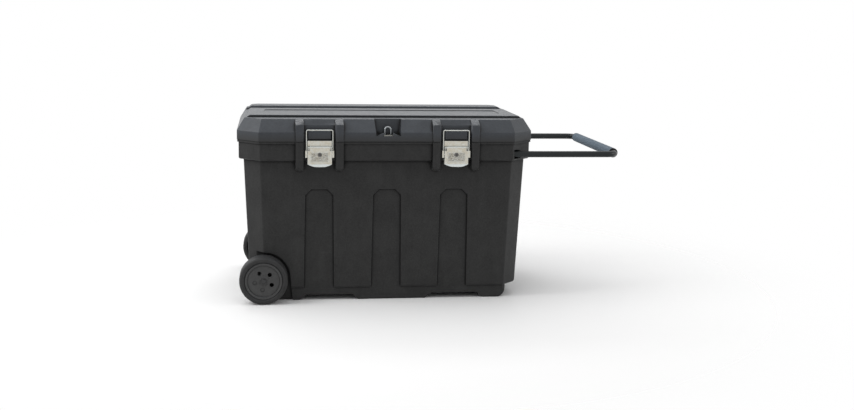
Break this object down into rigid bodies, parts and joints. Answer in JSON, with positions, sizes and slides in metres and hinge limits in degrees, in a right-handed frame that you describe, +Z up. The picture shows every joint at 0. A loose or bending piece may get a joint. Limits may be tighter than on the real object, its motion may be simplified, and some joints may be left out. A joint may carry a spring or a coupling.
{
  "type": "jobsite storage box",
  "caption": "Wheeled job-site storage box: moulded tub, hinged lid with latches and pipe groove, sliding pull handle, wheels at one end, tool tray inside.",
  "frame": {"origin": "on the floor under the middle of the tub, on the middle runner's underside", "axes": "+X along the box towards the pull handle, +Y from the latch side to the hinge side, +Z up"},
  "size_m": [1.229, 0.609, 0.592],
  "materials": {
    "charcoal_plastic": "moulded, fine texture",
    "black_plastic": "moulded",
    "tray_plastic": "moulded",
    "tyre_rubber": "matte rubber",
    "nickel_steel": "nickel plated",
    "lock_brass": "plated",
    "zinc_steel": "zinc plated",
    "tube_paint": "powder coated",
    "grip_foam": "foam"
  },
  "bodies": {
    "chest": {"tub": "charcoal_plastic", "hinge_pins": "zinc_steel", "padlock_staple": "nickel_steel", "latch_rivets": "nickel_steel", "latch_base_left": "nickel_steel", "latch_base_right": "nickel_steel", "latch_pin_left": "nickel_steel", "latch_pin_right": "nickel_steel", "axle": "zinc_steel", "axle_caps": "zinc_steel", "axle_washers": "zinc_steel", "handle_sleeve_front": "black_plastic", "handle_sleeve_rear": "black_plastic", "channel_rail_front": "black_plastic", "channel_rail_rear": "black_plastic", "channel_screws": "zinc_steel"},
    "lid": {"lid": "charcoal_plastic", "padlock_plate": "nickel_steel", "padlock_plate_rivets": "nickel_steel"},
    "pull_handle": {"handle_tube": "tube_paint", "handle_grip": "grip_foam", "handle_slider_front": "black_plastic", "handle_slider_rear": "black_plastic"},
    "wheel_front": {"wheel_hub_front": "black_plastic", "wheel_tyre_front": "tyre_rubber"},
    "wheel_rear": {"wheel_hub_rear": "black_plastic", "wheel_tyre_rear": "tyre_rubber"},
    "tray": {"tool_tray": "tray_plastic"},
    "latch_left": {"latch_lever_left": "nickel_steel"},
    "bail_left": {"latch_bail_left": "nickel_steel"},
    "lock_left": {"lock_plug_left": "lock_brass"},
    "latch_right": {"latch_lever_right": "nickel_steel"},
    "bail_right": {"latch_bail_right": "nickel_steel"},
    "lock_right": {"lock_plug_right": "lock_brass"}
  },
  "joints": [
    {"name": "lid_hinge", "type": "hinge", "parent": "chest", "child": "lid", "pos_m": [0, 0.2975, 0.516], "axis": [-1, 0, 0], "range_deg": [0, 100]},
    {"name": "handle_slide", "type": "slide", "parent": "chest", "child": "pull_handle", "axis": [1, 0, 0], "range_m": [-0.215, 0]},
    {"name": "wheel_front_spin", "type": "hinge", "parent": "chest", "child": "wheel_front", "pos_m": [-0.39, -0.26, 0.076], "axis": [0, 1, 0], "continuous": true},
    {"name": "wheel_rear_spin", "type": "hinge", "parent": "chest", "child": "wheel_rear", "pos_m": [-0.39, 0.26, 0.076], "axis": [0, 1, 0], "continuous": true},
    {"name": "tray_slide", "type": "slide", "parent": "chest", "child": "tray", "axis": [1, 0, 0], "range_m": [0, 0.47]},
    {"name": "latch_left_lever", "type": "hinge", "parent": "chest", "child": "latch_left", "pos_m": [-0.2145, -0.2905, 0.498], "axis": [-1, 0, 0], "range_deg": [0, 135]},
    {"name": "latch_left_bail", "type": "hinge", "parent": "latch_left", "child": "bail_left", "pos_m": [-0.2145, -0.2885, 0.478], "axis": [-1, 0, 0], "range_deg": [-135, 0]},
    {"name": "lock_left_turn", "type": "hinge", "parent": "latch_left", "child": "lock_left", "pos_m": [-0.2145, -0.2965, 0.477], "axis": [0, -1, 0], "range_deg": [0, 90]},
    {"name": "latch_right_lever", "type": "hinge", "parent": "chest", "child": "latch_right", "pos_m": [0.2145, -0.2905, 0.498], "axis": [-1, 0, 0], "range_deg": [0, 135]},
    {"name": "latch_right_bail", "type": "hinge", "parent": "latch_right", "child": "bail_right", "pos_m": [0.2145, -0.2885, 0.478], "axis": [-1, 0, 0], "range_deg": [-135, 0]},
    {"name": "lock_right_turn", "type": "hinge", "parent": "latch_right", "child": "lock_right", "pos_m": [0.2145, -0.2965, 0.477], "axis": [0, -1, 0], "range_deg": [0, 90]}
  ],
  "couplings": [
    {"joint": "latch_left_bail", "follows": "latch_left_lever", "ratio": -1},
    {"joint": "latch_right_bail", "follows": "latch_right_lever", "ratio": -1}
  ]
}
